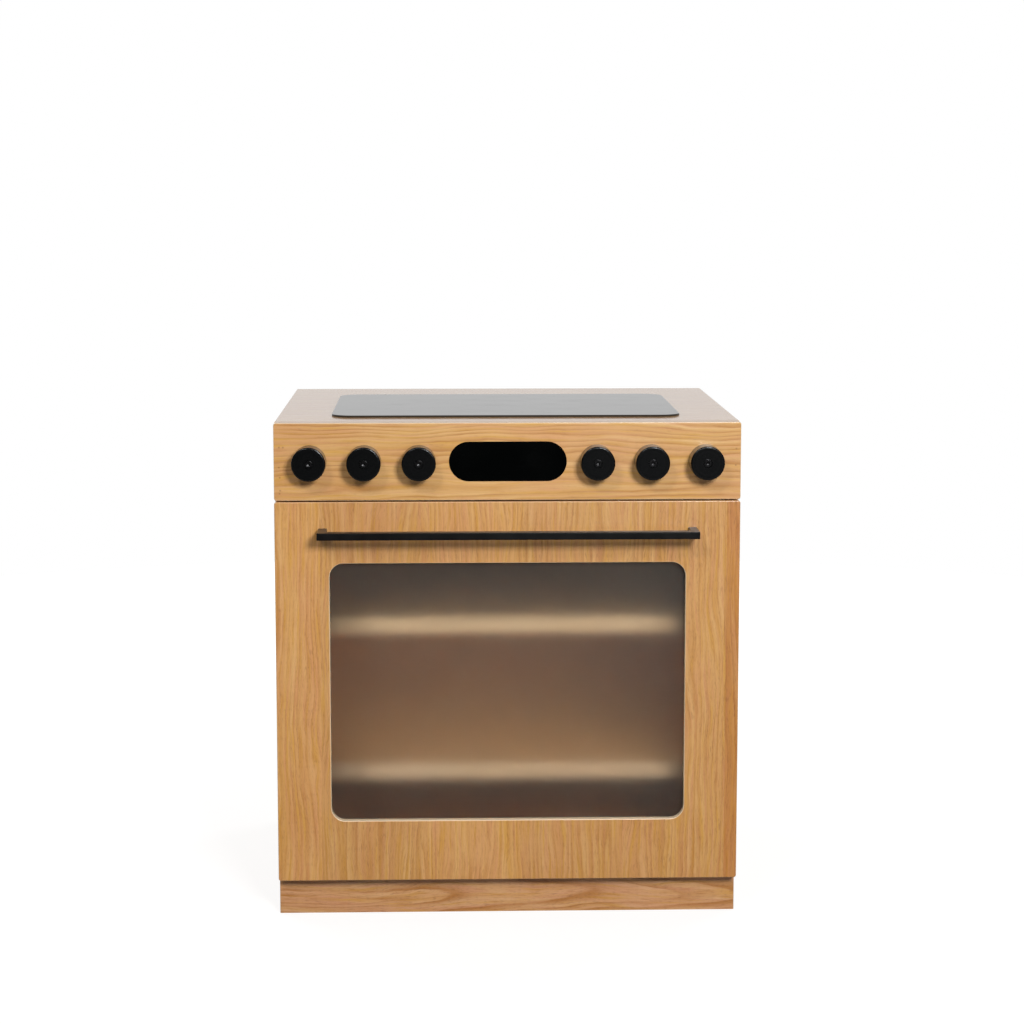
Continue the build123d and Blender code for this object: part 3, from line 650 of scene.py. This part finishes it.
VENEERED = {  # node: thickness, grain, seed, and what differs from plain oak
    "door_panel": (
        "Y",
        "Z",
        11,
        {
            "seam": DOOR_SEAM,
            "strip": DOOR_STRIP,
            "tone": DOOR_TONE,
            "figure": 1.2,
            # painted light on the window's reveal
            "reveal": WINDOW_EDGES,
        },
    ),
    "control_panel": (
        "Y",
        "X",
        23,
        {
            "seam": 355 * MM,
            "leaf": 200 * MM,
            "heart": 0.0,
            "figure": 1.7,
            "contrast": 0.5,
            "tone": PANEL_TONE,
            # a strong painted highlight on the panel's rounded edges
            "edge_highlight": 0.8,
            "marks": PIN_MARKS,
        },
    ),
    "plinth_front": (
        "Y",
        "X",
        71,
        {
            "seam": -130 * MM,
            "leaf": 300 * MM,
            "heart": 0.0,
            "rise": 0.06,
            "figure": 1.9,
            "contrast": 1.3,
            "tone": PLINTH_TONE,
        },
    ),
    "plinth_rear": ("Y", "X", 73, {"tone": PLINTH_TONE}),
    "plinth_left": ("X", "Y", 79, {"tone": PLINTH_TONE}),
    "plinth_right": ("X", "Y", 83, {"tone": PLINTH_TONE}),
    "worktop": ("Z", "X", 31, {"seam": 130 * MM, "leaf": 200 * MM, "lacquer": 0.11, "coat": 0.94}),
    "side_left": ("X", "Z", 43, {"seam": -100 * MM, "leaf": 150 * MM}),
    "side_right": ("X", "Z", 47, {"seam": -100 * MM, "leaf": 150 * MM}),
    "bottom_board": ("Z", "X", 53, {"tone": BOTTOM_TONE}),
    "ceiling_board": ("Z", "X", 59, {}),
    "shelf_lower": ("Z", "X", 61, {"palette": PALE, "tone": SHELF_TONE, "edge_tone": LOWER_EDGE_TONE}),
    "shelf_upper": ("Z", "X", 67, {"palette": PALE, "tone": SHELF_TONE, "edge_tone": UPPER_EDGE_TONE}),
}
COATED = {  # slot: darkest and lightest screen colour, roughness, width and depth of the texture, shine
    "black_metal": ((3, 3, 3), (7, 7, 7), 0.34, 0.5 * MM, 0.02 * MM, 0.25),
    "black_rubber": ((30, 30, 30), (42, 42, 42), 0.75, 0.8 * MM, 0.05 * MM, 0.5),
    "clear_nylon": ((222, 219, 208), (236, 234, 226), 0.4, 1.2 * MM, 0.02 * MM, 0.5),
    "ferrite": ((62, 62, 66), (78, 78, 82), 0.55, 0.4 * MM, 0.03 * MM, 0.5),
    "black_felt": ((16, 16, 16), (34, 34, 34), 0.95, 0.35 * MM, 0.15 * MM, 0.5),
}
STEEL = {  # slot: darkest and lightest linear colour, and roughness
    "black_steel": ((0.022, 0.022, 0.023), (0.04, 0.04, 0.042), 0.26),
    "zinc_steel": ((0.50, 0.50, 0.50), (0.66, 0.66, 0.68), 0.35),
}


def shared_finishes():
    """The finishes that several pieces or faces share, by the node or by the record's slot."""
    finishes = {slot: coated(slot, *values) for slot, values in COATED.items()}
    for slot, values in STEEL.items():
        finishes[slot] = steel(slot, *values)
    finishes["back_board"] = oak("back_board", "Y", "Z", 91, leaf=210 * MM, tone=BACK_TONE, contrast=0.7)
    finishes["plain_wood"] = oak("plain_wood", "Z", "Y", 97, leaf=500 * MM, tone=BEECH_TONE, contrast=0.3)
    finishes["hob_plate"] = black_gloss("hob_plate", "Z")
    finishes["display_panel"] = black_gloss("display_panel", "Y")
    finishes["smoked_acrylic"] = smoked_acrylic("smoked_acrylic")
    return finishes


def dress():
    """Gives every node its material. The nodes that no table names are the knobs."""
    shared = shared_finishes()
    for row in frame["record"]["subparts"]:
        node = row["node"]
        finish = shared.get(node, shared.get(row["material_slot"]))
        if node in VENEERED:
            thickness, grain, seed, changes = VENEERED[node]
            finish = oak("oak_" + node, thickness, grain, seed, **changes)
        elif finish is None:
            low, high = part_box(node)
            finish = turned_black("turned_" + node, (low + high) / 2)
        for slot in nodes[node].material_slots:
            slot.material = finish


# ---------------------------------------------------------------- studio


def softbox(name, turn, rise, distance, size, watts, glossy=True):
    """A square lamp that faces the part. glossy says whether shiny faces show it."""
    data = bpy.data.lights.new(name, "AREA")
    data.shape = "SQUARE"
    data.size = size
    data.energy = watts
    lamp = bpy.data.objects.new(name, data)
    bpy.context.scene.collection.objects.link(lamp)
    aside, up = math.radians(turn), math.radians(rise)
    level = math.cos(up)
    toward = Vector((math.sin(aside) * level, -math.cos(aside) * level, math.sin(up)))
    lamp.location = Vector(AIM) + toward * distance
    lamp.rotation_euler = toward.to_track_quat("Z", "Y").to_euler()
    lamp.visible_camera = False
    lamp.visible_glossy = glossy
    return lamp


def light_only(lamp, on_top):
    """Keeps a lamp's light on the worktop and the hob, or off them."""
    group = bpy.data.collections.new(lamp.name + "_receivers")
    for node in TOP:
        group.objects.link(nodes[node])
    for row in group.collection_objects:
        row.light_linking.link_state = "INCLUDE" if on_top else "EXCLUDE"
    lamp.light_linking.receiver_collection = group


def front_lamp(name, **values):
    """A softbox in front, as two: the one for the level glossy top shows in no shiny face."""
    light_only(softbox(name, **values), on_top=False)
    light_only(softbox(name + "_on_top", glossy=False, **values), on_top=True)


def make_floor():
    """A round pale floor. Cameras see it white but for the part's own shadow, and it fades
    into the white background."""
    mesh = bpy.data.meshes.new("floor")
    corners = []
    for number in range(FLOOR_CORNERS):
        turn = math.tau * number / FLOOR_CORNERS
        corners.append((FLOOR_RADIUS * math.cos(turn), FLOOR_RADIUS * math.sin(turn), -FLOOR_DROP))
    mesh.from_pydata(corners, [], [tuple(range(FLOOR_CORNERS))])
    floor = bpy.data.objects.new("floor", mesh)
    bpy.context.scene.collection.objects.link(floor)
    shader = Shader("floor")
    shader.set(Base_Color=srgb(*FLOOR_TONE), Roughness=FLOOR_ROUGHNESS)
    x, y, _ = shader.place()
    far = shader.fit(shader.length(x, y), *GLOW_FADE, smooth=True)
    seen = shader.make("LightPath").outputs["Is Camera Ray"]
    glow = shader.make("Emission")
    shader.put(glow.inputs["Strength"], shader.times(seen, shader.either(far, FLOOR_GLOW, 1.0)))
    total = shader.make("AddShader")
    shader.put(total.inputs[0], shader.surface.outputs[0])
    shader.put(total.inputs[1], glow.outputs[0])
    shader.show(total.outputs[0])
    mesh.materials.append(shader.material)


def make_world():
    """White to the camera. Diffuse light gets an even fill; shiny faces see a bright backdrop
    behind the part and a dark room in front of it."""
    world = bpy.data.worlds.new("studio")
    bpy.context.scene.world = world
    world.use_nodes = True
    graph = Graph(world.node_tree)
    backward = graph.split(graph.make("TexCoord").outputs["Generated"])[1]
    shine = graph.fit(backward, *SHINE_TURN, FRONT_SHINE, BACKDROP_SHINE, smooth=True)
    rays = graph.make("LightPath").outputs
    strength = graph.either(rays["Is Glossy Ray"], FILL, shine)
    strength = graph.either(rays["Is Camera Ray"], strength, 1.0)
    background = graph.make("Background")
    graph.put(background.inputs["Color"], srgb(*WHITE))
    graph.put(background.inputs["Strength"], strength)
    output = graph.make("OutputWorld")
    graph.put(output.inputs["Surface"], background.outputs[0])


def make_camera():
    """The photograph's viewpoint."""
    data = bpy.data.cameras.new("camera")
    data.sensor_width = SENSOR_WIDTH
    data.lens = FOCAL_PIXELS * SENSOR_WIDTH / IMAGE_SIZE
    data.shift_y = (AXIS_ROW - IMAGE_SIZE / 2) / IMAGE_SIZE
    camera = bpy.data.objects.new("camera", data)
    bpy.context.scene.collection.objects.link(camera)
    camera.location = CAMERA_PLACE
    camera.rotation_euler = (math.pi / 2 - CAMERA_PITCH, 0.0, CAMERA_YAW)
    bpy.context.scene.camera = camera


dress()
front_lamp("key_softbox", **KEY)
front_lamp("side_softbox", **SIDE)
for number, turn in enumerate(REAR_TURNS, 1):
    softbox(f"rear_softbox_{number}", turn, **REAR)
make_floor()
make_world()
make_camera()
bpy.context.scene.view_settings.view_transform = "Standard"
